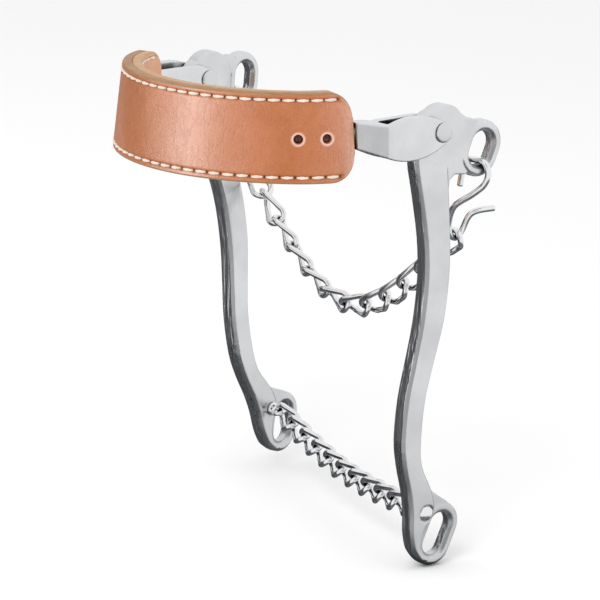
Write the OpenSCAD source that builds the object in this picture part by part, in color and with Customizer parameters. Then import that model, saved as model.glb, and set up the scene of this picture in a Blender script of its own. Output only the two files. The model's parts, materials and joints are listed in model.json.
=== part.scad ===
// Bitless hackamore: leather noseband, two shanks on riveted clevises,
// curb chain on hooks and a lower chain between the shanks.
// +X is the near (left) side, +Y points back, +Z is up.
// The origin is on the pivot axis of both shanks, half way between them.

/* [Frame] */
// Distance of each shank's pivot from the middle plane
pivot_x = 82; // [80:0.5:84]
// Turn of each shank plate, rear edge outward
flare = 6.4; // [5:0.1:8]
// Swing of the far shank against the near one at rest, lower end to the rear
far_swing = 14.6; // [10:0.1:18]

/* [Shanks] */
// Thickness of a shank plate
plate_t = 8.8; // [8.4:0.1:9.2]
// Thickness of the shank head between the clevis ears
head_t = 7.6; // [7.2:0.1:8]
// Bevel on the long edges of the shank
bevel = 1.5; // [1:0.1:2]
// Tilt of the cheek ring, top to the rear
cheek_tilt = 22; // [18:1:26]
// Tilt of the rein ring, top to the rear
rein_tilt = 25; // [20:1:28]

/* [Clevises] */
// Thickness of each ear of the fork
ear_t = 3.2; // [3:0.1:3.6]
// Radius of the rivet's shaft
rivet_r = 3; // [2.8:0.1:3.2]
// Height of the tang and neck
tang_h = 11.4; // [11:0.2:12]

/* [Noseband] */
// Radius of the front of the arch, outer face
front_r = 84; // [82:1:85]
// Radius of the sides of the arch, outer face
side_r = 47; // [46:1:48]
// Half angle of the front arc
front_angle = 47; // [46:0.5:48]
// Angle of the band's ends to the front
end_angle = 82; // [80:1:84]
// Height of the band
band_h = 40; // [38:0.5:42]
// Outward lean of the band, top to bottom
lean = 6.5; // [5:0.5:8]
// Thickness of the outer leather
outer_t = 4.6; // [4.2:0.1:5]
// Thickness of the lining leather
lining_t = 4.4; // [4:0.1:4.8]

/* [Chains] */
// Extra length of the curb chain over the straight line between its hooks, in percent
curb_slack = 23; // [22:1:28]
// Extra length of the lower chain over the straight line between its eyes, in percent
lower_slack = 0.45; // [0.3:0.05:0.7]
// Roundness of the curb chain's lowest part, in links
curb_bend = 2.2; // [1.8:0.1:3]
// Diameter of the chain wire
chain_wire = 2.8; // [2.6:0.1:2.9]
// Diameter of the curb hook wire
hook_wire = 2.9; // [2.7:0.1:3]

/* [Hidden] */
$fn = 64;

steel = [0.84, 0.85, 0.86];
chrome = [0.9, 0.91, 0.92];
tan_leather = [0.87, 0.57, 0.42];
pale_leather = [0.9, 0.66, 0.5];
thread_white = [0.96, 0.9, 0.84];
dark_brass = [0.28, 0.16, 0.13];

gap = 0.05;

// ---- Points and curves ----

function unit(v) = v / norm(v);
function turn_x(p, a) = [p[0], p[1] * cos(a) - p[2] * sin(a), p[1] * sin(a) + p[2] * cos(a)];
function turn_y(p, a) = [p[0] * cos(a) + p[2] * sin(a), p[1], p[2] * cos(a) - p[0] * sin(a)];
function turn_z(p, a) = [p[0] * cos(a) - p[1] * sin(a), p[0] * sin(a) + p[1] * cos(a), p[2]];

// Smooth curve through a row of points, n steps to each interval
function spline_point(a, b, c, d, t) =
    0.5 * (2 * b + (c - a) * t + (2 * a - 5 * b + 4 * c - d) * t * t + (3 * b - a - 3 * c + d) * t * t * t);
function spline(p, n) = let (last = len(p) - 1) concat(
    [for (i = [0:last - 1], k = [0:n - 1])
        spline_point(p[max(i - 1, 0)], p[i], p[i + 1], p[min(i + 2, last)], k / n)],
    [p[last]]);

// Closed skin over rings of equal length, capped at both ends or joined end to end;
// each ring runs clockwise as seen from the rings that follow
module skin(rings, loop = false) {
    n = len(rings);
    m = len(rings[0]);
    spans = loop ? n - 1 : n - 2;
    function at(i, j) = (i % n) * m + j % m;
    sides = [for (i = [0:spans], j = [0:m - 1])
        each [[at(i, j), at(i, j + 1), at(i + 1, j + 1)], [at(i, j), at(i + 1, j + 1), at(i + 1, j)]]];
    first_cap = [for (j = [m - 1:-1:0]) at(0, j)];
    last_cap = [for (j = [0:m - 1]) at(n - 1, j)];
    polyhedron([for (r = rings) each r], loop ? sides : concat(sides, [first_cap, last_cap]), 8);
}

// Ring of a round wire at point p, with direction d and a side vector that is never along it
function wire_ring(p, d, side, r, m) = let (u = unit(cross(d, side)), v = unit(cross(u, d)))
    [for (j = [0:m - 1]) p + r * (cos(360 * j / m) * u + sin(360 * j / m) * v)];
function path_dir(p, i) = unit(p[min(i + 1, len(p) - 1)] - p[max(i - 1, 0)]);
module wire(path, side, r, m) {
    skin([for (i = [0:len(path) - 1]) wire_ring(path[i], path_dir(path, i), side, r, m)]);
}

// A rod along X
module rod(r, x0, x1) {
    translate([x0, 0, 0]) rotate([0, 90, 0]) cylinder(r = r, h = x1 - x0);
}

// Stadium-shaped prism along X, long way up
module slot_prism(r, run, t) {
    rotate([0, 90, 0]) linear_extrude(t, center = true) union() {
        translate([run / 2, 0]) circle(r);
        translate([-run / 2, 0]) circle(r);
        square([run, 2 * r], center = true);
    }
}

// ---- Shanks: drawn at the near pivot, x outward, y back, z up ----

cheek_mid = [0, 25.6, -10.6];
cheek_hole_r = 5.7;
cheek_run = 4.8;
rein_mid = [0, 5, -190.6];
rein_hole_r = 5.4;
rein_run = 9.8;
rim = 5.2;
ring_t = 7.6;
swivel_at = [0, -1.6, -179.6];
swivel_r = 2.2;
head_r = 11.6;
pocket_r = 16.5;

// Rows of the shank blade: height, front edge, rear edge
blade_rows = [
    [-5, -10.5, 8.5], [-13, -12.1, 6.8], [-30, -8.9, 7.9], [-50, -5.6, 9.2], [-68, -4.9, 9.2],
    [-88, -7, 6.8], [-106, -10.8, 1.9], [-124, -14.8, -2.9], [-143, -16.5, -4.9], [-156, -15, -4.2],
    [-168, -12.2, 1.2], [-178, -10.8, 3.5], [-186, -10.7, -1], [-191, -10.2, -3.2], [-197, -8.6, -2.8],
    [-202, -4.9, 0.6]
];
function blade_ring(row) = let (h = plate_t / 2, b = bevel, z = row[0], f = row[1], k = row[2])
    [[-h + b, f, z], [h - b, f, z], [h, f + b, z], [h, k - b, z],
     [h - b, k, z], [-h + b, k, z], [-h, k - b, z], [-h, f + b, z]];
module blade() {
    skin([for (row = spline(blade_rows, 3)) blade_ring(row)]);
}

// Bevelled rim around a stadium-shaped hole
function rim_section(r) = let (h = ring_t / 2, b = 1.6)
    [[-h + b, r], [-h, r + b], [-h, r + rim - b], [-h + b, r + rim],
     [h - b, r + rim], [h, r + rim - b], [h, r + b], [h - b, r]];
module oval_rim(hole_r, run, steps = 30) {
    skin([for (i = [0:steps - 1]) let (a = 360 * (i + 0.5) / steps, up = sin(a) > 0 ? run / 2 : -run / 2)
        [for (q = rim_section(hole_r)) [q[0], q[1] * cos(a), q[1] * sin(a) + up]]], loop = true);
}

// Flat webs that join the cheek ring to the head and the rein ring to the blade
module webs() {
    rotate([90, 0, 90]) linear_extrude(ring_t - 1.2, center = true) {
        polygon([[0, 9], [9, 9.2], [14, 7], [18, 4.3], [23, 3], [21, -10], [21, -21],
                 [16, -21.6], [11, -21.2], [8.4, -23], [7.4, -28], [0, -30]]);
        polygon([[-6, -158], [-4, -160.5], [-1.5, -165.5], [1, -168.6], [5.5, -172], [11, -175.8],
                 [9, -186], [-7, -190], [-8, -170]]);
    }
}

// Cut that keeps the plate clear of an ear, with a ramped edge
module spot_face() {
    translate([head_t / 2, 0, 0]) rotate([0, 90, 0]) cylinder(r1 = pocket_r, r2 = pocket_r + 9, h = 3);
}
module in_plate() {
    rotate([0, 0, -flare]) children();
}

module at_cheek() {
    translate(cheek_mid) rotate([-cheek_tilt, 0, 0]) children();
}
module at_rein() {
    translate(rein_mid) rotate([-rein_tilt, 0, 0]) children();
}

module shank() {
    difference() {
        union() {
            difference() {
                in_plate() difference() {
                    union() {
                        difference() {
                            union() {
                                blade();
                                webs();
                            }
                            at_cheek() slot_prism(cheek_hole_r + rim / 2, cheek_run, 30);
                            at_rein() slot_prism(rein_hole_r + rim / 2, rein_run, 30);
                        }
                        at_cheek() oval_rim(cheek_hole_r, cheek_run);
                        at_rein() oval_rim(rein_hole_r, rein_run);
                    }
                    translate(swivel_at) rod(swivel_r + gap, -10, 10);
                    translate(swivel_at) rod(swivel_r + 1.9, plate_t / 2 - 0.9, 10);
                }
                spot_face();
                mirror([1, 0, 0]) spot_face();
            }
            translate([0, 4.6, 0]) rod(head_r, -head_t / 2, head_t / 2);
            translate([0, -0.4, -1.6]) rod(head_r - 0.4, -head_t / 2, head_t / 2);
        }
        rod(rivet_r + gap, -10, 10);
    }
}

module at_near() {
    translate([pivot_x, 0, 0]) children();
}
module at_far() {
    mirror([1, 0, 0]) at_near() children();
}
module near_shank() color(steel) at_near() shank();
module far_shank() color(steel) rotate([far_swing, 0, 0]) at_far() shank();

// ---- Noseband: s runs along the outer face from the front, d goes in, z goes up ----

front_y = -92.5;
band_z = 0.7;
band_t = outer_t + lining_t;
corner_r = 11;
tang_t = 1.6;
core_t = 1.6;
tang_len = 36;
front_len = front_r * front_angle * PI / 180;
end_s = front_len + side_r * (end_angle - front_angle) * PI / 180;
core_s = end_s - 8;
function arch_angle(s) = abs(s) < front_len ? s / front_r * 180 / PI
    : sign(s) * (front_angle + (abs(s) - front_len) / side_r * 180 / PI);
function arch_point(s) = let (t = abs(arch_angle(s)), a = min(t, front_angle))
    [sign(s) * (front_r * sin(a) + side_r * (sin(t) - sin(a))),
     front_y + front_r * (1 - cos(a)) + side_r * (cos(a) - cos(t))];
function band_point(s, d, z) = let (t = arch_angle(s), p = arch_point(s), k = d + z * tan(lean))
    [p[0] - sin(t) * k, p[1] + cos(t) * k, z + band_z];

// Half height of the band at s, with round corners at both ends
function band_half(s) = let (e = max(0, corner_r - (end_s - abs(s))))
    band_h / 2 - corner_r + sqrt(max(0, corner_r * corner_r - e * e));
function band_ring(s, d0, d1, h) =
    [band_point(s, d0, -h), band_point(s, d0, h), band_point(s, d1, h), band_point(s, d1, -h)];
function band_stations() = let (mid = end_s - corner_r, n = 26, c = 6) concat(
    [for (i = [c:-1:1]) -mid - corner_r * sin(90 * i / c)],
    [for (i = [0:n]) -mid + 2 * mid * i / n],
    [for (i = [1:c]) mid + corner_r * sin(90 * i / c)]);
// Leather layers, each with a shallow groove for the metal, as high as g above and below the middle
glue_gap = 0.03;
module outer_layer(g) {
    skin([for (s = band_stations()) let (h = band_half(s)) [for (q = [
        [0, -h], [0, h], [outer_t, h], [outer_t, g], [outer_t - tang_t, g],
        [outer_t - tang_t, -g], [outer_t, -g], [outer_t, -h]
    ]) band_point(s, q[0], q[1])]]);
}
module lining_layer(g) {
    skin([for (s = band_stations()) let (h = band_half(s)) [for (q = [
        [band_t, -h], [outer_t + glue_gap, -h], [outer_t + glue_gap, -g], [outer_t + core_t, -g],
        [outer_t + core_t, g], [outer_t + glue_gap, g], [outer_t + glue_gap, h], [band_t, h]
    ]) band_point(s, q[0], q[1])]]);
}
module strip(s0, s1, d0, d1, h, n) {
    skin([for (i = [0:n]) band_ring(s0 + (s1 - s0) * i / n, d0, d1, h)]);
}

// Tang rivets go in from the outer face
rivet_places = [13, 26];
shaft_r = 1.2;
head_hole_r = 2.1;
module band_rod(s, r, d0, d1) {
    t = arch_angle(s);
    p = band_point(s, d0, 0.6);
    translate(p) rotate([0, 0, t - 90]) rotate([0, -90, 0]) cylinder(r = r, h = d1 - d0);
}
module rivet_holes(side) {
    for (e = rivet_places) band_rod(side * (end_s - e), head_hole_r, -2, outer_t - tang_t);
    for (e = rivet_places) band_rod(side * (end_s - e), shaft_r + gap, 0, band_t - 2);
}

module outer_leather() color(tan_leather) difference() {
    outer_layer(tang_h / 2 + 0.1);
    rivet_holes(1);
    rivet_holes(-1);
}
module lining_leather() color(pale_leather) difference() {
    lining_layer(tang_h / 2 + 0.1);
    rivet_holes(1);
    rivet_holes(-1);
}

module nose_core() color(steel) difference() {
    strip(-core_s, core_s, outer_t + 0.12, outer_t + core_t - 0.1, tang_h / 2, 40);
    rivet_holes(1);
    rivet_holes(-1);
}

module tang_rivets(side) {
    for (e = rivet_places) band_rod(side * (end_s - e), head_hole_r - 0.1, 1, outer_t - tang_t);
    for (e = rivet_places) band_rod(side * (end_s - e), shaft_r, 1, band_t - 2.1);
}
module near_tang_rivets() color(dark_brass) tang_rivets(1);
module far_tang_rivets() color(dark_brass) tang_rivets(-1);

// Two rows of stitches, each a short bar laid on the outer face
stitch_pitch = 6.7;
stitch_row_z = 17;
stitch_r = 0.45;
stitch_count = floor((end_s - 6) * 2 / stitch_pitch);
module stitching() color(thread_white) {
    for (row = [-1, 1], i = [0:stitch_count - 1]) {
        s = (i - (stitch_count - 1) / 2) * stitch_pitch;
        t = arch_angle(s);
        translate(band_point(s, -stitch_r - 0.15, row * stitch_row_z)) rotate([0, 0, t])
            rod(stitch_r, -2.4, 2.4);
    }
}

// ---- Clevises: fork, neck and tang in one forging, drawn at the near pivot ----

ear_in = head_t / 2 + 0.1;
ear_out = ear_in + ear_t;
ear_half = 10.1;
leaf_r = 40;
shoulder_y = -31;
shoulder_step = 0.5;
inner_top = 8.3;
neck_r = 4.2;
collar_r = 2.7;
// Ear from x0 to x1, its top edge cut level at top
module leaf(x0, x1, top) {
    translate([0, 0, -0.7]) intersection() {
        translate([0, -18, ear_half - leaf_r]) rod(leaf_r, x0, x1);
        translate([0, -18, leaf_r - ear_half]) rod(leaf_r, x0, x1);
        union() {
            translate([0, -2.7, 0]) rod(9, x0, x1);
            translate([x0, shoulder_y, -15]) cube([x1 - x0, -2.7 - shoulder_y, 30]);
        }
        translate([x0, shoulder_y - 1, -15]) cube([x1 - x0, 45, 15 + top]);
    }
}
module neck() {
    e = band_point(end_s + 1, outer_t - tang_t / 2, 0);
    hull() {
        translate([-ear_out, shoulder_y - 1, -8.3]) cube([2 * ear_out - shoulder_step, 2, 15.2]);
        translate([e[0] - pivot_x + 2.4, e[1] + 4.4, band_z])
            cylinder(r = neck_r, h = tang_h + 0.6, center = true);
    }
    translate([e[0] - pivot_x, e[1] + 2, band_z]) rotate([0, 0, end_angle]) collar();
}
module collar() {
    hull() for (side = [-1, 1])
        translate([0, 0, side * (tang_h / 2 - collar_r - 0.7)]) rod(collar_r, -2.3, 2.3);
}
module fork() {
    difference() {
        union() {
            leaf(-ear_out, -ear_in, inner_top);
            leaf(ear_in, ear_out, 12);
            neck();
        }
        rod(rivet_r + 0.02, -12, 12);
    }
}
module clevis() {
    at_near() fork();
    difference() {
        strip(end_s - tang_len, end_s + 1.4, outer_t - tang_t + 0.1, outer_t - 0.1, tang_h / 2, 8);
        rivet_holes(1);
    }
}
module near_clevis() color(steel) clevis();
module far_clevis() color(steel) mirror([1, 0, 0]) clevis();

// Rivets on the pivot axis, peened to a low dome at both ends
dome_r = 4.5;
dome_h = 1.3;

// Outline of a domed head from its rim to its top, as [radius, x] with x growing by way
function dome_points(r, h, x, way) = let (ball = (r * r + h * h) / (2 * h), half = asin(r / ball))
    [for (i = [0:6]) let (a = half * (1 - i / 6)) [ball * sin(a), x + way * (h - ball + ball * cos(a))]];
function reversed(p) = [for (i = [len(p) - 1:-1:0]) p[i]];

// Turned part along X from an outline of [radius, x]
module turned(points) {
    rotate([0, 90, 0]) rotate_extrude() polygon(points);
}
module pivot_rivet() {
    x = ear_out + 0.02;
    turned(concat(reversed(dome_points(dome_r, dome_h, -x, -1)), [[rivet_r, -x], [rivet_r, x]],
        dome_points(dome_r, dome_h, x, 1)));
}
module near_pivot_rivet() color(steel) at_near() pivot_rivet();
module far_pivot_rivet() color(steel) at_far() pivot_rivet();

// ---- Swivels: a headed pin through each shank with an eye on the inner side ----

link_gap = 0.14;
eye_wire = 1.1;
eye_r = 3.2;
eye_x = -plate_t / 2 - 1.6 - eye_r;
module swivel(turn) {
    inner = -plate_t / 2 - 0.1;
    seat = plate_t / 2 - 0.85;
    translate(swivel_at) rotate([turn, 0, 0]) {
        turned(concat(
            [[0, inner - 1.7], [3, inner - 1.7], [3.4, inner - 1.2], [3.4, inner], [swivel_r, inner], [swivel_r, seat]],
            dome_points(3.9, 1.3, seat, 1)));
        translate([eye_x, 0, 0]) skin([for (i = [0:23]) let (a = 15 * i, out = [cos(a), 0, sin(a)])
            [for (j = [0:7]) out * (eye_r + eye_wire * cos(45 * j)) + [0, -eye_wire * sin(45 * j), 0]]],
            loop = true);
    }
}
near_turn = 60;
far_turn = -80;
module near_swivel() color(chrome) at_near() in_plate() swivel(near_turn);
module far_swivel() color(chrome) rotate([far_swing, 0, 0]) at_far() in_plate() swivel(far_turn);

// Middle of the eye in a shank's own frame
eye_mid = swivel_at + [eye_x, 0, 0];
function near_of(p) = turn_z(p, -flare) + [pivot_x, 0, 0];
function far_of(p) = let (q = near_of(p)) turn_x([-q[0], q[1], q[2]], far_swing);

// ---- Curb hooks: bent wire round the bottom of each cheek ring ----

cheek_low = cheek_mid - cheek_run / 2 * [0, sin(cheek_tilt), cos(cheek_tilt)];
near_hang = near_of(cheek_low) - [0, 0, cheek_hole_r];
far_hang = far_of(cheek_low) - [0, 0, cheek_hole_r];
hook_path = [
    [-6.6, -2.8, -10.2], [-6.9, -1.2, -4.6], [-4.6, -0.2, 1.35], [0, 0.3, 2.2], [4.8, 1.2, 1.55],
    [6.6, 2, -3.6], [5, 1, -8.9], [0.5, -1.8, -13.7], [-7.3, -5.4, -20], [-10.4, -5.7, -28.2], [-11, -4.4, -33.8],
    [-11, -0.6, -36.1], [-10.4, 2.7, -33], [-8.2, 4.6, -26.4], [-5.6, 7.4, -23.6], [-1.6, 14.1, -22.5]
];
hook_low = [-11, -0.8, -36.1];
// Point on top of a hook's wire where a link rests that pulls down at the given slope
function hook_seat(slope) = hook_low + (hook_wire / 2 + link_gap) * [cos(slope), 0, sin(slope)];
module hook() {
    wire(spline(hook_path, 4), [0.2, 1, 0.15], hook_wire / 2, 10);
}
module near_curb_hook() color(chrome) translate(near_hang) hook();
far_hook_turn = [5, 5];
module far_curb_hook() color(chrome) translate(far_hang) rotate([far_hook_turn[0], 0, 0])
    rotate([0, far_hook_turn[1], 0]) mirror([1, 0, 0]) hook();

// ---- Chains: equal links laid end to end between their two supports ----

// Slope of link i of count, from -1 to 1; a small bend makes a sharper bottom
function lean_of(i, count, bend) = let (u = (i - (count - 1) / 2) / bend) u / sqrt(1 + u * u);

// Contact points in a chain's own plane, its steepest slope being a degrees
function drape(count, pitch, bend, a, i = 0, p = [[0, 0]]) = i == count ? p
    : let (t = a * lean_of(i, count, bend))
        drape(count, pitch, bend, a, i + 1, concat(p, [p[i] + pitch * [cos(t), sin(t)]]));
function reach(p) = norm(p[len(p) - 1]);

// Slope at which the ends of a chain are as far apart as its two supports
function find_slope(count, pitch, bend, span, low, high, n) = let (mid = (low + high) / 2)
    n == 0 ? mid
    : reach(drape(count, pitch, bend, mid)) > span
        ? find_slope(count, pitch, bend, span, mid, high, n - 1)
    : find_slope(count, pitch, bend, span, low, mid, n - 1);
function hung_points(a, b, count, pitch, bend) = let (
    flat = norm([b[0] - a[0], b[1] - a[1]]),
    tilt = atan((b[2] - a[2]) / flat),
    p = drape(count, pitch, bend, find_slope(count, pitch, bend, norm(b - a), 1, 80, 30)),
    off = tilt - atan2(p[count][1], p[count][0])
) [for (q = p) let (x = (q[0] * cos(off) - q[1] * sin(off)) / flat)
    [a[0] + (b[0] - a[0]) * x, a[1] + (b[1] - a[1]) * x, a[2] + q[0] * sin(off) + q[1] * cos(off)]];

curb_count = 12;
lower_count = 10;
lower_bend = 5;
near_slope = 44;
far_slope = 48;
near_seat = near_hang + hook_seat(near_slope);
far_low = turn_x(turn_y([-hook_low[0], hook_low[1], hook_low[2]], far_hook_turn[1]), far_hook_turn[0]);
far_seat = far_hang + far_low + (hook_wire / 2 + link_gap) * [-cos(far_slope), 0, sin(far_slope)];
pull = unit(near_of(eye_mid) - far_of(eye_mid)) * (eye_r - eye_wire);
near_eye = near_of(eye_mid) - pull;
far_eye = far_of(eye_mid) + pull;
curb_pitch = norm(near_seat - far_seat) * (1 + curb_slack / 100) / curb_count;
lower_pitch = norm(near_eye - far_eye) * (1 + lower_slack / 100) / lower_count;
curb_points = hung_points(far_seat, near_seat, curb_count, curb_pitch, curb_bend);
lower_points = hung_points(far_eye, near_eye, lower_count, lower_pitch, lower_bend);

// Oval wire link, twisted a quarter turn from end to end
link_w = 12;
function link_ring(a, pitch, steps, m) = let (
    half = pitch / 2 + chain_wire / 2 + link_gap,
    w = (link_w - chain_wire) / 2,
    up = cos(a) > 0 ? half - w : w - half,
    x = up + w * cos(a),
    y = w * sin(a),
    roll = -45 * x / half,
    twist = -PI / 4 / half,
    out = turn_x([cos(a), sin(a), 0], roll),
    along = unit(turn_x([-w * sin(a), w * cos(a), 0], roll) - w * sin(a) * twist * turn_x([0, 0, y], roll)),
    v = unit(cross(along, out)),
    u = cross(v, along)
) [for (j = [0:m - 1]) let (b = 360 * j / m)
    turn_x([x, y, 0], roll) + chain_wire / 2 * (cos(b) * u - sin(b) * v)];
module link(a, b, pitch, roll) {
    d = unit(b - a);
    across = unit(cross(d, [0, 0, 1]));
    top = cross(across, d);
    turned = cos(roll) * across + sin(roll) * top;
    third = cross(d, turned);
    mid = (a + b) / 2;
    multmatrix([[d[0], turned[0], third[0], mid[0]],
                [d[1], turned[1], third[1], mid[1]],
                [d[2], turned[2], third[2], mid[2]]])
        skin([for (i = [0:15]) link_ring(360 * (i + 0.5) / 16, pitch, 16, 8)], loop = true);
}

// Roll of each link about the chain; the end links hook square over the wires that hold them
curb_rolls = [124, 84, 60, 54, 56, 61, 67, 73, 75, 68, 57, 47];
lower_rolls = [110, 80];
module curb_link(i) {
    color(chrome) link(curb_points[i - 1], curb_points[i], curb_pitch, curb_rolls[i - 1]);
}
module lower_link(i) {
    color(chrome) link(lower_points[i - 1], lower_points[i], lower_pitch,
        lower_rolls[0] + (lower_rolls[1] - lower_rolls[0]) * (i - 1) / (lower_count - 1));
}

near_shank();
far_shank();
near_clevis();
far_clevis();
near_pivot_rivet();
far_pivot_rivet();
outer_leather();
lining_leather();
nose_core();
near_tang_rivets();
far_tang_rivets();
stitching();
near_curb_hook();
far_curb_hook();
near_swivel();
far_swivel();
curb_link(1);  // curb_link_01
curb_link(2);  // curb_link_02
curb_link(3);  // curb_link_03
curb_link(4);  // curb_link_04
curb_link(5);  // curb_link_05
curb_link(6);  // curb_link_06
curb_link(7);  // curb_link_07
curb_link(8);  // curb_link_08
curb_link(9);  // curb_link_09
curb_link(10);  // curb_link_10
curb_link(11);  // curb_link_11
curb_link(12);  // curb_link_12
lower_link(1);  // lower_link_01
lower_link(2);  // lower_link_02
lower_link(3);  // lower_link_03
lower_link(4);  // lower_link_04
lower_link(5);  // lower_link_05
lower_link(6);  // lower_link_06
lower_link(7);  // lower_link_07
lower_link(8);  // lower_link_08
lower_link(9);  // lower_link_09
lower_link(10);  // lower_link_10
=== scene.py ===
"""Bitless hackamore: the looks of every part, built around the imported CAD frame.

+X is the near (left) side, +Y points back, +Z is up. Sizes are named in millimetres and
become metres in the mesh code.
"""

import json
import math

import bpy
import numpy as np
from mathutils import Matrix, Vector, noise


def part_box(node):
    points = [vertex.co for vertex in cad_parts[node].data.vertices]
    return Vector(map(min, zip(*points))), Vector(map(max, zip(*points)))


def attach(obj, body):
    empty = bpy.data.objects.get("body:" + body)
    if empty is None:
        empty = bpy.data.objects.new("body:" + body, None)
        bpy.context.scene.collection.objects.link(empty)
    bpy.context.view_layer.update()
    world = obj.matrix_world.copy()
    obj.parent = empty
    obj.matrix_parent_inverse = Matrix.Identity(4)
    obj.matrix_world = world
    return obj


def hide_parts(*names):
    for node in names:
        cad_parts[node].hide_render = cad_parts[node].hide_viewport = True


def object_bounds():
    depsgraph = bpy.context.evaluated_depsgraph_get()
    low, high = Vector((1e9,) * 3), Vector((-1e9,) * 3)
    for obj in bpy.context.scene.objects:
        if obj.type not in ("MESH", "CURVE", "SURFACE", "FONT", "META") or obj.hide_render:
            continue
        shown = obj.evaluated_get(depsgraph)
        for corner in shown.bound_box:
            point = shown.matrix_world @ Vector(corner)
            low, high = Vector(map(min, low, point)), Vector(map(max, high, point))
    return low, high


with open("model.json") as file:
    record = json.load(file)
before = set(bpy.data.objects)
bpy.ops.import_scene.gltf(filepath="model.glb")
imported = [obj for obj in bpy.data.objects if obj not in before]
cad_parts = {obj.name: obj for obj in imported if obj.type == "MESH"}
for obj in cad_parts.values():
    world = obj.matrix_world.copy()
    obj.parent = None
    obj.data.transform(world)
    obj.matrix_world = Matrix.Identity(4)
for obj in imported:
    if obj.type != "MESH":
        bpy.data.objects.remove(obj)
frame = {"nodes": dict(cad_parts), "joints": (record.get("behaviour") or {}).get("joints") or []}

MM = 0.001
CAD_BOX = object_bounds()
NODES = frame["nodes"]
JOINTS = {j["name"]: j for j in frame["joints"]}

# Noseband: the arch and its two leathers
FRONT_R = 84.0
SIDE_R = 47.0
FRONT_ANGLE = math.radians(47)
END_ANGLE = math.radians(82)
FRONT_Y = -92.5
BAND_Z = 0.7
BAND_H = 40.0
CORNER_R = 11.0
LEAN = math.tan(math.radians(6.5))
OUTER_T = 4.6
BAND_T = 9.0
LAYER_GAP = 0.06
EDGE_R = 1.1
BACK_R = 0.5
END_BULGE = 0.6
CORNER_STEPS = 6
RIM_STEPS = 5
FRONT_LEN = FRONT_R * FRONT_ANGLE
END_S = FRONT_LEN + SIDE_R * (END_ANGLE - FRONT_ANGLE)

# Stitching
STITCH_PITCH = 6.7
STITCH_ROW_Z = 17.0
STITCH_COUNT = int((END_S - 6) * 2 // STITCH_PITCH)
THREAD_LEN = 5.7
THREAD_W = 1.28
THREAD_H = 1.0

# Rivets in the leather, from each end of the band
TANG_RIVET_PLACES = (13.0, 26.0)
PUNCH_R = 2.1
RIVET_DEPTH = 1.3

# Chain and hook wire
CHAIN_WIRE = 2.8
LINK_W = 12.0
HOOK_WIRE = 2.9
HOOK_PATH = (
    (-6.6, -2.8, -10.2), (-6.9, -1.2, -4.6), (-4.6, -0.2, 1.35), (0, 0.3, 2.2), (4.8, 1.2, 1.55),
    (6.6, 2, -3.6), (5, 1, -8.9), (0.5, -1.8, -13.7), (-7.3, -5.4, -20), (-10.4, -5.7, -28.2),
    (-11, -4.4, -33.8), (-11, -0.6, -36.1), (-10.4, 2.7, -33), (-8.2, 4.6, -26.4),
    (-5.6, 7.4, -23.6), (-1.6, 14.1, -22.5),
)
FAR_HOOK_TURN = (math.radians(5), math.radians(5))


# Directions of the dark things that polished metal reflects
ROOM_WAY = (-0.80, -0.25, -0.55)
CAMERA_WAY = (0.728, -0.640, 0.247)
DOWN = (0.0, 0.0, -1.0)


# ---- Node trees ----

class Tree:
    """Short calls for building a shader tree."""

    def __init__(self, tree):
        self.tree = tree
        tree.nodes.clear()

    def add(self, kind, inputs=None, **props):
        n = self.tree.nodes.new(kind)
        for key, value in props.items():
            setattr(n, key, value)
        for key, value in (inputs or {}).items():
            self.put(n.inputs[key], value)
        return n

    def put(self, socket, value):
        if isinstance(value, bpy.types.NodeSocket):
            self.tree.links.new(value, socket)
        else:
            socket.default_value = value

    def math(self, op, a, b=0.0, clamp=False):
        return self.add("ShaderNodeMath", {0: a, 1: b}, operation=op, use_clamp=clamp).outputs[0]

    def mix(self, amount, a, b, kind="MIX"):
        n = self.add("ShaderNodeMix", {0: amount, 6: a, 7: b}, data_type="RGBA", blend_type=kind)
        return n.outputs[2]

    def step(self, value, low, high, to_low=0.0, to_high=1.0):
        n = self.add("ShaderNodeMapRange", {0: value, 1: low, 2: high, 3: to_low, 4: to_high},
                     interpolation_type="SMOOTHSTEP")
        return n.outputs[0]

    def noise(self, vector, scale, detail=4.0, rough=0.55):
        n = self.add("ShaderNodeTexNoise", {"Vector": vector, "Scale": scale, "Detail": detail,
                                            "Roughness": rough})
        return n.outputs[0]

    def bump(self, height, distance, strength=1.0, normal=None):
        inputs = {"Height": height, "Distance": distance, "Strength": strength}
        if normal is not None:
            inputs["Normal"] = normal
        return self.add("ShaderNodeBump", inputs).outputs[0]


def new_material(name):
    mat = bpy.data.materials.new(name)
    mat.use_nodes = True
    return mat, Tree(mat.node_tree)


def surface(t, inputs):
    shader = t.add("ShaderNodeBsdfPrincipled", inputs)
    t.add("ShaderNodeOutputMaterial", {0: shader.outputs[0]})


def object_coords(t):
    return t.add("ShaderNodeTexCoord").outputs["Object"]


def grey(v):
    return (v, v, v * 1.01, 1.0)


# ---- Materials ----

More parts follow.
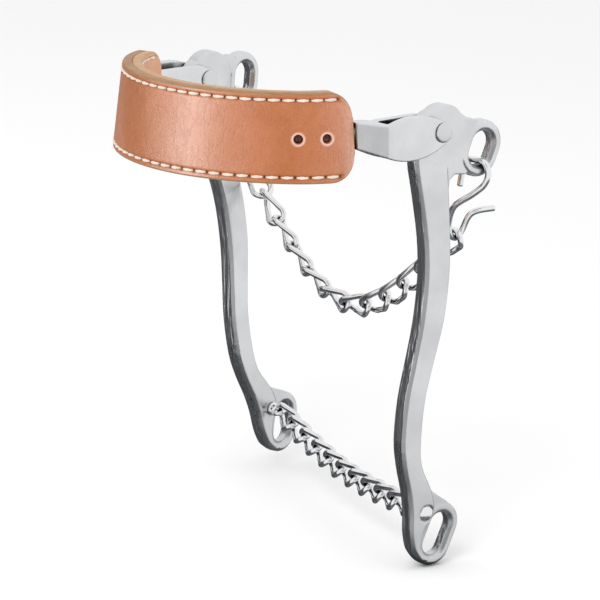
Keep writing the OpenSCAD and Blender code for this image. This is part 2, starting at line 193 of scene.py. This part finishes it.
def satin_steel(name, base=0.80, rough=0.27, wave=0.0, bevel_shade=0.0):
    """Cast and polished metal with brush lines, cloudy sheen, worn edges, painted shade in crevices and
    hollows, painted shade on the slanted bevels and painted shade towards the bottom.

    wave is the height of the long ripples, and the last argument how dark the painted shade on the bevels
    is.
    """
    mat, t = new_material(name)
    p = object_coords(t)
    cloud = t.noise(p, 45.0, 3.0)
    speck = t.noise(p, 900.0, 5.0)
    long_way = t.add("ShaderNodeMapping", {"Vector": p, "Scale": (1.0, 1.0, 0.06)}).outputs[0]
    brush = t.noise(long_way, 3200.0, 2.0, 0.7)
    edge = t.add("ShaderNodeNewGeometry").outputs["Pointiness"]
    worn = t.step(edge, 0.52, 0.60)
    # painted shade: concave crevices, found by low pointiness, are darkened in the colour
    crevice_shade = t.step(edge, 0.48, 0.42)
    # painted shade: near black where ambient occlusion is low, in hollows and between parts
    ao_painted_shade = t.add("ShaderNodeAmbientOcclusion", {"Distance": 0.012}, samples=8).outputs["AO"]
    tone = t.mix(t.step(cloud, 0.35, 0.7, 0.0, 0.5), grey(base), grey(base * 0.88))
    tone = t.mix(t.math("MULTIPLY", worn, 0.5), tone, grey(min(1.0, base * 1.12)))
    tone = t.mix(t.math("MULTIPLY", crevice_shade, 0.65), tone, grey(base * 0.30))
    tone = t.mix(t.step(ao_painted_shade, 0.62, 0.38), tone, grey(base * 0.03))
    facing = t.add("ShaderNodeSeparateXYZ", {0: t.add("ShaderNodeTexCoord").outputs["Normal"]})
    # painted shade: faces slanted between the front and the side, the bevels, are darkened by their facing
    slant = t.math("ABSOLUTE", t.math("MULTIPLY", facing.outputs["X"], facing.outputs["Y"]))
    tone = t.mix(t.step(slant, 0.30, 0.44, 0.0, bevel_shade), tone, grey(base * 0.42))
    # painted shade: darker and a little blue-grey towards the bottom, below 10 cm down
    low = t.add("ShaderNodeSeparateXYZ", {0: p}).outputs["Z"]
    tone = t.mix(t.step(low, -0.10, -0.20, 0.0, 0.30), tone, (base * 0.45, base * 0.48, base * 0.47, 1.0))
    shine = t.math("ADD", t.step(cloud, 0.3, 0.7, rough - 0.05, rough + 0.07),
                   t.math("MULTIPLY", speck, 0.06))
    height = t.math("ADD", t.math("MULTIPLY", brush, 0.35), t.math("MULTIPLY", speck, 0.65))
    side_on = t.step(t.math("ABSOLUTE", facing.outputs["Y"]), 0.75, 0.95, wave, wave * 8.0)
    ripple = t.bump(t.noise(long_way, 380.0, 2.0), side_on)
    surface(t, {"Base Color": tone, "Metallic": 1.0, "Roughness": shine,
                "Normal": t.bump(height, 0.00003, 0.35, ripple)})
    return mat


def chrome(name):
    """Bright plated wire with light rub marks where links meet, and painted shade in the hollows between
    links.
    """
    mat, t = new_material(name)
    p = object_coords(t)
    cloud = t.noise(p, 220.0, 3.0)
    mark = t.noise(p, 1500.0, 5.0)
    tone = t.mix(t.step(mark, 0.52, 0.75, 0.0, 0.35), grey(0.93), grey(0.66))
    # painted shade: near black where the wires meet and in hollows, from ambient occlusion
    ao_painted_shade = t.add("ShaderNodeAmbientOcclusion", {"Distance": 0.004}, samples=8).outputs["AO"]
    tone = t.mix(t.step(ao_painted_shade, 0.62, 0.30), tone, grey(0.06))
    shine = t.math("ADD", t.step(cloud, 0.35, 0.7, 0.05, 0.13), t.step(mark, 0.6, 0.8, 0.0, 0.12))
    surface(t, {"Base Color": tone, "Metallic": 1.0, "Roughness": shine,
                "Normal": t.bump(mark, 0.00002, 0.25)})
    return mat


def leather(name, base, pink, deep, edge_tone, rough):
    """Veg-tanned leather: pores, fine creases with painted shade in them, cloudy colour, dark channels,
    burnished edges, painted shade in the needle holes and a painted highlight on the punched rims.
    """
    mat, t = new_material(name)
    p = object_coords(t)
    cloud = t.noise(p, 26.0, 3.0)
    blotch = t.noise(p, 140.0, 4.0)
    speckle = t.noise(p, 1900.0, 4.0, 0.7)
    pore = t.add("ShaderNodeTexVoronoi", {"Vector": p, "Scale": 1500.0, "Randomness": 1.0},
                 feature="DISTANCE_TO_EDGE").outputs["Distance"]
    flow = t.add("ShaderNodeMapping", {"Vector": p, "Scale": (1.0, 1.0, 0.35)}).outputs[0]
    crease = t.step(t.math("ABSOLUTE", t.math("SUBTRACT", t.noise(flow, 190.0, 5.0, 0.6), 0.5)), 0.0, 0.035)
    tone = t.mix(t.step(cloud, 0.36, 0.64), base, pink)
    tone = t.mix(t.step(blotch, 0.45, 0.75, 0.0, 0.25), tone, deep)
    tone = t.mix(t.step(speckle, 0.45, 0.7, 0.0, 0.5), tone, deep)
    # painted shade: darker along the crease valleys
    tone = t.mix(t.math("MULTIPLY", t.math("SUBTRACT", 1.0, crease), 0.22), tone, deep)
    edge = t.add("ShaderNodeAttribute", attribute_name="edge").outputs["Fac"]
    groove = t.add("ShaderNodeAttribute", attribute_name="groove").outputs["Fac"]
    hole = t.add("ShaderNodeAttribute", attribute_name="hole").outputs["Fac"]
    lip = t.add("ShaderNodeAttribute", attribute_name="lip").outputs["Fac"]
    streak = t.add("ShaderNodeMapping", {"Vector": p, "Scale": (0.25, 0.25, 3.0)}).outputs[0]
    layered = t.mix(t.step(t.noise(streak, 700.0, 4.0), 0.35, 0.7, 0.0, 0.55), edge_tone, deep)
    tone = t.mix(edge, tone, layered)
    tone = t.mix(t.math("MULTIPLY", groove, 0.42), tone, deep)
    # painted highlight: pale pink on the raised rims round the punched holes
    tone = t.mix(t.math("MULTIPLY", lip, 0.75), tone, (0.92, 0.66, 0.58, 1.0))
    # painted shade: near black in the needle holes
    tone = t.mix(hole, tone, (0.045, 0.018, 0.014, 1.0))
    shine = t.math("ADD", t.step(cloud, 0.3, 0.7, rough - 0.05, rough + 0.06),
                   t.math("MULTIPLY", speckle, 0.12))
    shine = t.math("ADD", shine, t.math("MULTIPLY", edge, 0.12), clamp=True)
    grain = t.math("ADD", t.step(pore, 0.0, 0.22), t.math("MULTIPLY", speckle, 0.8))
    fine = t.bump(grain, 0.00006, 0.5)
    folds = t.bump(crease, 0.00007, 0.6, fine)
    folds = t.bump(t.noise(p, 60.0, 2.0), 0.00025, 1.0, folds)
    surface(t, {"Base Color": tone, "Roughness": shine, "Normal": folds, "Specular IOR Level": 0.42,
                "Sheen Weight": 0.12, "Sheen Roughness": 0.4, "Coat Weight": 0.10,
                "Coat Roughness": 0.28})
    return mat


def waxed_thread(name):
    mat, t = new_material(name)
    p = object_coords(t)
    fibre = t.noise(p, 5200.0, 4.0, 0.7)
    dirt = t.noise(p, 420.0, 3.0)
    tone = t.mix(t.step(dirt, 0.4, 0.75, 0.0, 0.5), (0.80, 0.69, 0.58, 1.0), (0.70, 0.46, 0.34, 1.0))
    tone = t.mix(t.step(fibre, 0.45, 0.7, 0.0, 0.25), tone, (0.55, 0.36, 0.26, 1.0))
    surface(t, {"Base Color": tone, "Roughness": t.step(fibre, 0.3, 0.7, 0.5, 0.75),
                "Normal": t.bump(fibre, 0.00006, 0.5), "Sheen Weight": 0.25})
    return mat


# Dark brass rivet heads; their near-black tone is also painted shade inside the sunk punched holes.
def dark_brass_and_shade(name):
    mat, t = new_material(name)
    p = object_coords(t)
    patina = t.noise(p, 1100.0, 5.0, 0.65)
    tone = t.mix(t.step(patina, 0.35, 0.7), (0.055, 0.024, 0.024, 1.0), (0.20, 0.10, 0.085, 1.0))
    surface(t, {"Base Color": tone, "Metallic": 0.7, "Roughness": t.step(patina, 0.3, 0.7, 0.35, 0.6),
                "Normal": t.bump(patina, 0.00005, 0.5)})
    return mat


def floor_material(name):
    mat, t = new_material(name)
    tone = t.mix(t.noise(object_coords(t), 1.5, 2.0), (0.90, 0.90, 0.90, 1.0), (0.93, 0.93, 0.93, 1.0))
    surface(t, {"Base Color": tone, "Roughness": 0.9, "Specular IOR Level": 0.1})
    return mat


# ---- Mesh helpers ----

def mesh_object(name, verts, faces, material):
    """A smooth-shaded object from points in millimetres."""
    mesh = bpy.data.meshes.new(name)
    mesh.from_pydata([tuple(float(c) * MM for c in v) for v in verts], [], faces)
    mesh.validate()
    mesh.shade_smooth()
    mesh.materials.append(material)
    obj = bpy.data.objects.new(name, mesh)
    bpy.context.scene.collection.objects.link(obj)
    return obj


def skin_faces(count, size, loop=False, base=0):
    """Quads between rings of equal size, with caps unless the rings close on themselves."""
    faces = []
    for i in range(count if loop else count - 1):
        a, b = base + i * size, base + (i + 1) % count * size
        faces += [(a + j, a + (j + 1) % size, b + (j + 1) % size, b + j) for j in range(size)]
    if not loop:
        faces.append(tuple(base + j for j in reversed(range(size))))
        faces.append(tuple(base + (count - 1) * size + j for j in range(size)))
    return faces


def unit(v):
    return v / np.linalg.norm(v)


def spline(points, steps):
    """Smooth curve through the points."""
    p = [np.array(q, float) for q in points]
    out = []
    for i in range(len(p) - 1):
        a, b, c, d = p[max(i - 1, 0)], p[i], p[i + 1], p[min(i + 2, len(p) - 1)]
        for k in range(steps):
            t = k / steps
            out.append(0.5 * (2 * b + (c - a) * t + (2 * a - 5 * b + 4 * c - d) * t ** 2
                              + (3 * b - a - 3 * c + d) * t ** 3))
    return out + [p[-1]]


def tube(path, radius, size, round_ends=6):
    """Rings of a round wire along a path, its ends rounded off."""
    n = len(path)
    dirs = [unit(path[min(i + 1, n - 1)] - path[max(i - 1, 0)]) for i in range(n)]
    side = unit(np.cross(dirs[0], (0.2, 1.0, 0.15)))
    rings = []

    def ring(centre, d, r):
        nonlocal side
        side = unit(side - d * side.dot(d))
        other = np.cross(d, side)
        rings.append([centre + r * (math.cos(a) * side + math.sin(a) * other)
                      for a in (2 * math.pi * j / size for j in range(size))])

    for k in range(round_ends):
        a = math.pi / 2 * (k + 0.5) / round_ends
        ring(path[0] - dirs[0] * radius * 0.55 * math.cos(a), dirs[0], radius * math.sin(a))
    for centre, d in zip(path, dirs):
        ring(centre, d, radius)
    for k in reversed(range(round_ends)):
        a = math.pi / 2 * (k + 0.5) / round_ends
        ring(path[-1] + dirs[-1] * radius * 0.55 * math.cos(a), dirs[-1], radius * math.sin(a))
    return rings


def turned(name, outline, centre, axis, material, size=64):
    """Lathe-turned part: the outline is (radius, distance along the axis), in order."""
    axis = unit(np.array(axis, float))
    u = unit(np.cross(axis, (0.1, 0.2, 1.0)))
    v = np.cross(axis, u)
    verts = [centre + axis * x + r * (math.cos(a) * u + math.sin(a) * v)
             for r, x in outline for a in (2 * math.pi * j / size for j in range(size))]
    return mesh_object(name, verts, skin_faces(len(outline), size), material)


def fit_out(obj, body, slot, *nodes):
    """Ties a piece to its body and hides the CAD nodes it stands for; slot, the name of its finish, is not
    used.
    """
    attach(obj, body)
    if nodes:
        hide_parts(*nodes)


# ---- Noseband ----

def arch(s):
    """Angle and outer-face point of the arch at s, as (angle, x, y)."""
    side = math.copysign(1.0, s)
    s = abs(s)
    t = s / FRONT_R if s < FRONT_LEN else FRONT_ANGLE + (s - FRONT_LEN) / SIDE_R
    a = min(t, FRONT_ANGLE)
    x = FRONT_R * math.sin(a) + SIDE_R * (math.sin(t) - math.sin(a))
    y = FRONT_Y + FRONT_R * (1 - math.cos(a)) + SIDE_R * (math.cos(a) - math.cos(t))
    return side * t, side * x, y


def band_point(s, d, z):
    """Point at s along the band, depth d from the outer face and height z."""
    t, x, y = arch(s)
    k = d + z * LEAN
    return np.array((x - math.sin(t) * k, y + math.cos(t) * k, z + BAND_Z))


def half_height(s):
    e = min(CORNER_R, max(0.0, CORNER_R - (END_S - abs(s))))
    return BAND_H / 2 - CORNER_R + math.sqrt(CORNER_R ** 2 - e ** 2)


def stitch_places():
    return [(i - (STITCH_COUNT - 1) / 2) * STITCH_PITCH for i in range(STITCH_COUNT)]


def needle_distance(s, z):
    """Distance to the nearest needle hole of the two stitch rows."""
    k = (s / STITCH_PITCH + STITCH_COUNT / 2) % 1.0
    ds = min(k, 1 - k) * STITCH_PITCH
    if abs(s) > STITCH_COUNT / 2 * STITCH_PITCH + 0.5:
        return 9.0
    return math.hypot(ds, abs(z) - STITCH_ROW_Z)


def face_marks(s, z, punched):
    """How the worked face is dented at a point: its depth, the stitch groove, the mask of painted shade in
    the needle holes, and the rivet rim lip, which also carries a painted highlight.
    """
    row = abs(z) - STITCH_ROW_Z
    inside = 1.0 if abs(s) < STITCH_COUNT / 2 * STITCH_PITCH + 1 else 0.0
    groove = inside * math.exp(-(row / 1.0) ** 2)
    needle = needle_distance(s, z)
    # mask of the painted shade in the needle holes
    hole = math.exp(-(needle / 0.62) ** 4)
    depth = 0.38 * groove + 0.75 * math.exp(-(needle / 0.7) ** 2)
    lip = 0.0
    # the lip raises the rim round each punched hole and also carries its painted highlight
    if punched:
        for e in TANG_RIVET_PLACES:
            r = math.hypot(abs(s) - (END_S - e), z + 0.1)
            lip = max(lip, math.exp(-((r - PUNCH_R - 0.55) / 0.45) ** 2))
    wave = noise.noise(Vector((s * 0.045, z * 0.07, 3.1 if punched else 8.4)))
    return depth - 0.22 * lip + 0.16 * wave, groove, hole, lip


def face_heights():
    """Heights across a face, from -1 to 1, dense along the stitch rows and the rivets."""
    rows = [(0.0, 5.0, 10), (5.0, 15.2, 12), (15.2, 18.4, 14), (18.4, 19.0, 1)]
    up = [a + (b - a) * k / n for a, b, n in rows for k in range(n)] + [19.0]
    return [-z for z in reversed(up[1:])] + up


def stations():
    """Places along the band, closer together near its round ends."""
    mid = END_S - CORNER_R
    n = int(2 * mid / 0.42)
    ends = [mid + CORNER_R * math.sin(math.pi / 2 * k / 26) for k in range(1, 27)]
    return [-s for s in reversed(ends)] + [-mid + 2 * mid * k / n for k in range(n + 1)] + ends


def leather_layer(name, outer, material):
    """One layer of the band: a worked face with grooves and holes, rounded edges, a plain back."""
    d_face = 0.0 if outer else BAND_T
    d_back = OUTER_T - LAYER_GAP if outer else OUTER_T + LAYER_GAP
    way = 1.0 if outer else -1.0
    heights = face_heights()
    corner = [math.pi / 2 * k / CORNER_STEPS for k in range(1, CORNER_STEPS + 1)]
    turn_in = [math.pi / 2 * k / RIM_STEPS for k in range(RIM_STEPS)]
    verts, marks = [], []

    def section(s, inset):
        h = half_height(s) - inset
        e = max(0.15, EDGE_R - inset * 0.5)
        face, back = d_face + way * inset, d_back
        flat = h - e
        loop = []
        for z in heights:
            zz = z / 19.0 * flat
            dent, groove, hole, lip = face_marks(s, zz, outer)
            loop.append((face + way * dent, zz, groove, hole, lip, 0.0))
        for a in corner:
            loop.append((face + way * e * (1 - math.cos(a)), flat + e * math.sin(a), 0, 0, 0, 1.0))
        for a in reversed(corner[:-1]):
            loop.append((back - way * BACK_R * (1 - math.cos(a)), h - BACK_R + BACK_R * math.sin(a),
                         0, 0, 0, 1.0))
        for k in range(13):
            loop.append((back, (h - BACK_R) * (1 - k / 6), 0, 0, 0, 0.5))
        for a in corner[:-1]:
            loop.append((back - way * BACK_R * (1 - math.cos(a)), -h + BACK_R - BACK_R * math.sin(a),
                         0, 0, 0, 1.0))
        for a in reversed(corner):
            loop.append((face + way * e * (1 - math.cos(a)), -flat - e * math.sin(a), 0, 0, 0, 1.0))
        return loop

    rows = [(-END_S, a) for a in reversed(turn_in[1:])]
    rows += [(s, 0.0) for s in stations()]
    rows += [(END_S, a) for a in turn_in[1:]]
    for s, a in rows:
        loop = section(s, EDGE_R * (1 - math.cos(a)))
        past = math.copysign(EDGE_R * math.sin(a) * END_BULGE, s) if a else 0.0
        for d, z, groove, hole, lip, edge in loop:
            verts.append(band_point(s + past, d, z))
            marks.append((groove, hole, lip, 1.0 if a else edge))
    faces = skin_faces(len(rows), len(loop))
    if not outer:
        faces = [tuple(reversed(f)) for f in faces]
    obj = mesh_object(name, verts, faces, material)
    for i, key in enumerate(("groove", "hole", "lip", "edge")):
        layer = obj.data.attributes.new(key, "FLOAT", "POINT")
        layer.data.foreach_set("value", [m[i] for m in marks])
    return obj


def punch(obj, places, depth, radius):
    """Cuts a round hole into the outer face at each place along the band."""
    for s in places:
        t = arch(s)[0]
        inward = np.array((-math.sin(t), math.cos(t), 0.0))
        cutter = turned("punch", [(radius, -3.0), (radius, depth)], band_point(s, 0.0, 0.0), inward,
                        obj.data.materials[0], 40)
        cut = obj.modifiers.new("punch", "BOOLEAN")
        cut.operation, cut.object, cut.solver = "DIFFERENCE", cutter, "EXACT"
        bake(obj)
        bpy.data.objects.remove(cutter)
    obj.data.set_sharp_from_angle(angle=math.radians(50))


def bake(obj):
    """Replaces an object's mesh by what its modifiers make of it."""
    done = bpy.data.meshes.new_from_object(obj.evaluated_get(bpy.context.evaluated_depsgraph_get()))
    obj.modifiers.clear()
    obj.data = done


def thread_piece(s, z, face, way, turn):
    """One stitch: a plump two-ply strand that dives into the needle holes at its ends."""
    steps, size = 15, 14
    t = arch(s)[0]
    along = np.array((math.cos(t), math.sin(t), 0.0))
    inward = np.array((-math.sin(t), math.cos(t), 0.0)) * way
    up = np.array((LEAN * -math.sin(t), LEAN * math.cos(t), 1.0))
    up = unit(up)
    middle = band_point(s, face, z)
    rings = []
    for i in range(steps + 1):
        q = -1 + 2 * i / steps
        plump = max(0.10, (1 - abs(q) ** 3.2)) ** 0.5
        dive = -0.30 + 1.05 * abs(q) ** 5
        centre = middle + along * q * THREAD_LEN / 2 + inward * dive + up * 0.12 * turn * q
        ring = []
        for j in range(size):
            a = 2 * math.pi * j / size
            ply = 1 + 0.13 * math.cos(2 * a + 5.5 * q)
            ring.append(centre + plump * ply * (up * math.cos(a) * THREAD_W / 2
                                                + inward * math.sin(a) * THREAD_H / 2))
        rings.append(ring if way > 0 else ring[::-1])
    return rings


def stitching(name, face, way, material):
    verts, faces = [], []
    for row in (-1, 1):
        for s in stitch_places():
            wobble = noise.noise(Vector((s * 3.7, row * 5.0, way)))
            rings = thread_piece(s, row * STITCH_ROW_Z + 0.10 * wobble, face, way, wobble + 0.4)
            faces += skin_faces(len(rings), len(rings[0]), base=len(verts))
            verts += [v for ring in rings for v in ring]
    return mesh_object(name, verts, faces, material)


def tang_rivets(name, side, material):
    """Sunk rivet heads: a low dome with a dished middle on a plain shaft."""
    verts, faces = [], []
    head = [(0.05, 6.6), (1.1, 6.6), (1.1, 1.7), (1.95, 1.7), (1.95, 0.5), (1.75, 0.16), (1.3, 0.0),
            (0.9, 0.1), (0.5, 0.26), (0.05, 0.3)]
    for e in TANG_RIVET_PLACES:
        s = side * (END_S - e)
        t = arch(s)[0]
        inward = np.array((-math.sin(t), math.cos(t), 0.0))
        part = turned("head", head, band_point(s, RIVET_DEPTH, 0.0), inward, material, 40)
        base = len(verts)
        verts += [np.array(v.co) / MM for v in part.data.vertices]
        faces += [tuple(base + i for i in p.vertices) for p in part.data.polygons]
        bpy.data.objects.remove(part)
    return mesh_object(name, verts, faces, material)


def build_noseband():
    tan = leather("outer_leather_tan", (0.435, 0.132, 0.032, 1), (0.50, 0.165, 0.062, 1),
                  (0.29, 0.074, 0.016, 1), (0.35, 0.190, 0.072, 1), 0.38)
    pale = leather("lining_leather_pale", (0.70, 0.36, 0.20, 1), (0.80, 0.48, 0.33, 1),
                   (0.50, 0.22, 0.11, 1), (0.52, 0.33, 0.16, 1), 0.55)
    thread = waxed_thread("thread_cream")
    # near-black heads: dark brass, and partly painted shade in the punched holes
    brass = dark_brass_and_shade("tang_rivet_dark")
    outer = leather_layer("noseband_outer", True, tan)
    punch(outer, [side * (END_S - e) for side in (-1, 1) for e in TANG_RIVET_PLACES], 3.0, PUNCH_R)
    fit_out(outer, "noseband", "outer_leather", "outer_leather")
    lining = leather_layer("noseband_lining", False, pale)
    fit_out(lining, "noseband", "lining_leather", "lining_leather")
    fit_out(stitching("stitching_outer", 0.30, 1.0, thread), "noseband", "thread", "stitching")
    fit_out(stitching("stitching_inner", BAND_T - 0.30, -1.0, thread), "noseband", "thread")
    for side, name in ((1, "near"), (-1, "far")):
        heads = tang_rivets(name + "_tang_rivet_heads", side, brass)
        fit_out(heads, "noseband", "tang_rivet_brass", name + "_tang_rivets")


# ---- Metalwork ----

def soften(node, voxel, rounds):
    """Rounds off a CAD part's edges as polishing does, without moving it."""
    obj = NODES[node]
    mesh = obj.modifiers.new("skin", "REMESH")
    mesh.mode = "VOXEL"
    mesh.voxel_size = voxel * MM
    mesh.use_smooth_shade = True
    rub = obj.modifiers.new("rub", "SMOOTH")
    rub.factor = 0.5
    rub.iterations = rounds


def paint(node, material):
    for s in NODES[node].material_slots:
        s.material = material


def pivot_rivet(side, material):
    """Rivet through the fork, peened over at both ends to a low dome with a worked rim."""
    low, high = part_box(side + "_pivot_rivet")
    centre = np.array((low + high) / 2) / MM
    reach = (high.x - low.x) / 2 / MM
    head = [(4.45, -0.02), (4.6, 0.2), (4.6, 0.55), (4.45, 0.82), (4.1, 1.0), (3.5, 1.12),
            (2.6, 1.21), (1.4, 1.28), (0.06, 1.3)]
    seat = reach - 1.3
    outline = [(r, -seat - x) for r, x in reversed(head)] + [(3.0, -seat + 0.05), (3.0, seat - 0.05)]
    outline += [(r, seat + x) for r, x in head]
    rivet = turned(side + "_pivot_rivet_peened", outline, centre, (1, 0, 0), material)
    fit_out(rivet, "noseband", "pivot_rivet_steel", side + "_pivot_rivet")


def rotation(axis, angle):
    return np.array(Matrix.Rotation(angle, 3, axis))


def curb_hook(side, material):
    """Bent wire hook, hung from the lower edge of a cheek ring."""
    path = np.array(HOOK_PATH, float)
    if side == "far":
        path[:, 0] *= -1
        path = path @ (rotation("X", FAR_HOOK_TURN[0]) @ rotation("Y", FAR_HOOK_TURN[1])).T
    hang = np.array(JOINTS[side + "_hook_swing"]["pos_m"]) / MM
    size = 20
    rings = tube(spline(path + hang, 9), HOOK_WIRE / 2, size)
    verts = [v for ring in rings for v in ring]
    hook = mesh_object(side + "_hook_wire", verts, skin_faces(len(rings), size), material)
    fit_out(hook, side + "_curb_hook", "hook_chrome", side + "_curb_hook")


def link_axes(node):
    """Middle, main axes and length of a CAD link, from its own solid."""
    co = np.array([v.co for v in NODES[node].data.vertices], float) / MM
    co = np.unique(np.round(co, 3), axis=0)
    mid = co.mean(0)
    _, _, axes = np.linalg.svd(co - mid, full_matrices=False)
    long_way, wide = axes[0], axes[1]
    m = np.array((long_way, wide, np.cross(long_way, wide)))
    local = (co - mid) @ m.T
    low, high = local.min(0), local.max(0)
    return mid + (low + high) / 2 @ m, m, high[0] - low[0]


def chain_link(node, slot, material):
    """Oval wire link, twisted a quarter turn so that the chain lies flat, with a welded joint."""
    mid, m, length = link_axes(node)
    steps, size = 64, 18
    half = (length - CHAIN_WIRE) / 2
    w = (LINK_W - CHAIN_WIRE) / 2
    twist = -math.pi / 4 / half

    def centre(a):
        x = (half - w if math.cos(a) > 0 else w - half) + w * math.cos(a)
        y = w * math.sin(a)
        return np.array((x, y * math.cos(twist * x), y * math.sin(twist * x)))

    rings = []
    for i in range(steps):
        a = 2 * math.pi * (i + 0.5) / steps
        p = centre(a)
        along = unit(centre(a + 0.01) - centre(a - 0.01))
        out = unit(np.array((math.cos(a), math.sin(a) * math.cos(twist * p[0]),
                             math.sin(a) * math.sin(twist * p[0]))))
        other = unit(np.cross(along, out))
        out = np.cross(other, along)
        weld = 1 + 0.07 * math.exp(-((a - math.pi / 2) / 0.10) ** 2)
        rings.append([mid + (p + CHAIN_WIRE / 2 * weld * (math.cos(b) * out + math.sin(b) * other)) @ m
                      for b in (2 * math.pi * j / size for j in range(size))])
    verts = [v for ring in rings for v in ring]
    link = mesh_object(node + "_wire", verts, skin_faces(steps, size, loop=True), material)
    fit_out(link, node, slot, node)


def build_metal():
    steel = satin_steel("shank_satin_steel", wave=0.00018, bevel_shade=0.8)
    forged = satin_steel("clevis_satin_steel", 0.84, 0.22)
    peened = satin_steel("rivet_satin_steel", 0.78, 0.24)
    plain = satin_steel("core_plain_steel", 0.6, 0.4)
    wire = chrome("chain_chrome")
    hooked = chrome("hook_chrome")
    pin = chrome("swivel_chrome")
    for side in ("near", "far"):
        soften(side + "_shank", 0.42, 4)
        paint(side + "_shank", steel)
        soften(side + "_clevis", 0.35, 6)
        paint(side + "_clevis", forged)
        soften(side + "_swivel", 0.2, 4)
        paint(side + "_swivel", pin)
        pivot_rivet(side, peened)
        curb_hook(side, hooked)
    paint("nose_core", plain)
    for node in sorted(n for n in NODES if "_link_" in n):
        kind = node.split("_")[0]
        chain_link(node, kind + "_chain_chrome", wire)


# ---- Stage, light and camera ----

def build_floor():
    low = CAD_BOX[0]
    edge = 4.0
    mesh = bpy.data.meshes.new("floor")
    z = low[2] - 0.0005
    mesh.from_pydata([(-edge, -edge, z), (edge, -edge, z), (edge, edge, z), (-edge, edge, z)], [],
                     [(0, 1, 2, 3)])
    mesh.materials.append(floor_material("floor_pale"))
    floor = bpy.data.objects.new("floor", mesh)
    bpy.context.scene.collection.objects.link(floor)
    floor.visible_glossy = False


def build_world():
    """White studio; polished metal also sees the dark room behind and below the table."""
    world = bpy.data.worlds.new("studio")
    world.use_nodes = True
    world.cycles.sampling_method = "NONE"
    bpy.context.scene.world = world
    t = Tree(world.node_tree)
    p = t.add("ShaderNodeTexCoord").outputs["Generated"]

    def towards(way, low, high):
        dot = t.add("ShaderNodeVectorMath", {0: p, 1: way}, operation="DOT_PRODUCT").outputs["Value"]
        return t.step(dot, low, high)

    observer = t.math("MULTIPLY", towards(CAMERA_WAY, 0.95, 0.985), 0.6)
    dark = t.math("MAXIMUM", towards(ROOM_WAY, 0.32, 0.54), observer)
    dark = t.math("MAXIMUM", dark, t.math("MULTIPLY", towards(DOWN, 0.36, 0.62), 0.92))
    clutter = t.step(t.noise(p, 7.0, 2.0), 0.44, 0.60)
    shade = t.mix(clutter, (0.010, 0.012, 0.016, 1.0), (0.21, 0.22, 0.23, 1.0))
    tone = t.mix(dark, (0.90, 0.91, 0.92, 1.0), shade)
    ray = t.add("ShaderNodeLightPath").outputs["Is Glossy Ray"]
    colour = t.mix(ray, (1.0, 1.0, 1.0, 1.0), tone)
    back = t.add("ShaderNodeBackground", {0: colour, 1: 0.97})
    t.add("ShaderNodeOutputWorld", {0: back.outputs[0]})


def area_light(name, place, aim, size, power, only=None):
    data = bpy.data.lights.new(name, "AREA")
    data.shape = "DISK"
    data.size = size
    data.energy = power
    lamp = bpy.data.objects.new(name, data)
    bpy.context.scene.collection.objects.link(lamp)
    lamp.location = place
    lamp.rotation_euler = (Vector(aim) - Vector(place)).to_track_quat("-Z", "Y").to_euler()
    lamp.visible_glossy = only is not None
    lamp.visible_diffuse = only is None
    lamp.light_linking.receiver_collection = only


def build_camera():
    """Looks down at the near front quarter, from far enough for a long lens."""
    azimuth, elevation, roll = 0.84942, 0.24917, 0.01165
    distance, shift_right, shift_up, lift = 1.56908, -0.00560, -0.09252, 0.00039
    back = Vector((math.sin(azimuth) * math.cos(elevation), -math.cos(azimuth) * math.cos(elevation),
                   math.sin(elevation)))
    level = Vector((math.cos(azimuth), math.sin(azimuth), 0.0))
    over = back.cross(level)
    right = math.cos(roll) * level + math.sin(roll) * over
    up = math.cos(roll) * over - math.sin(roll) * level
    data = bpy.data.cameras.new("camera")
    data.sensor_width = 36.0
    data.lens = 201.54
    data.clip_start = 0.05
    camera = bpy.data.objects.new("camera", data)
    bpy.context.scene.collection.objects.link(camera)
    place = back * distance + right * shift_right + up * shift_up + Vector((0, 0, lift))
    camera.matrix_world = Matrix((right, up, back)).transposed().to_4x4()
    camera.matrix_world.translation = place
    bpy.context.scene.camera = camera


def build_studio():
    build_floor()
    build_world()
    aim = (0.0, -0.02, -0.08)
    area_light("key", (0.55, -1.0, 0.95), aim, 0.7, 7.0)
    area_light("fill", (-1.1, -0.5, 0.5), aim, 1.0, 2.0)
    band = bpy.data.collections.new("band_only")
    for name in ("noseband_outer", "noseband_lining"):
        band.objects.link(bpy.data.objects[name])
    area_light("sheen", (-0.40, -1.10, 0.10), aim, 0.5, 22.0, band)
    area_light("end_sheen", (1.10, 0.50, 0.02), aim, 0.4, 14.0, band)
    build_camera()
    bpy.context.scene.view_settings.view_transform = "Standard"


build_noseband()
build_metal()
build_studio()
